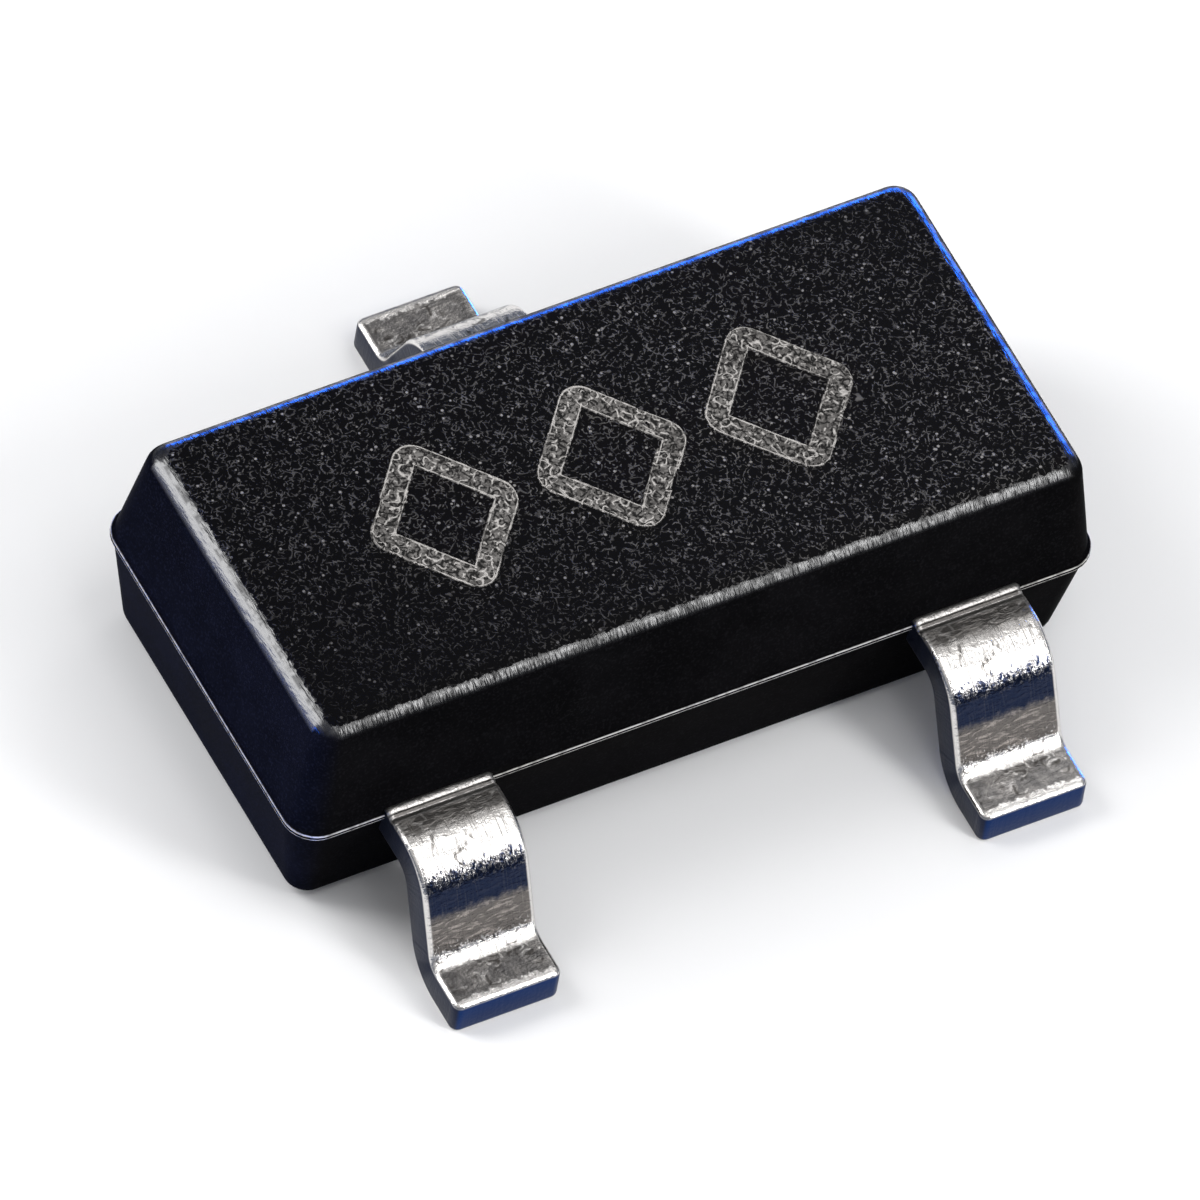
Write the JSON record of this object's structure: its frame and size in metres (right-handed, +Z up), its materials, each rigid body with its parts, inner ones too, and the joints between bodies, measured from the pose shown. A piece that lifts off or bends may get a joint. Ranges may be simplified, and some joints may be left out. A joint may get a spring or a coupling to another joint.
{
  "type": "sot-23 transistor",
  "caption": "Small surface-mount transistor: a black moulded body with gull-wing leads on both long sides, die and bond wires inside.",
  "frame": {"origin": "middle of the footprint, on the plane that the three feet stand on", "axes": "+X along the length of the body, +Y towards the single lead, +Z up from the board"},
  "size_m": [0.0028, 0.0026, 0.0009],
  "materials": {
    "black_epoxy": "fine matte moulded epoxy, slightly glossy on the drafted sides",
    "tin_plating": "bright tin plating with fine handling scratches",
    "silicon": "polished silicon with passivated top",
    "silver_adhesive": "silver-filled adhesive",
    "gold_wire": "drawn gold wire"
  },
  "bodies": {
    "root": {"moulded_body": "black_epoxy", "base_lead": "tin_plating", "emitter_lead": "tin_plating", "collector_lead": "tin_plating", "silicon_die": "silicon", "die_attach": "silver_adhesive", "base_bond_wire": "gold_wire", "emitter_bond_wire": "gold_wire"}
  },
  "joints": []
}
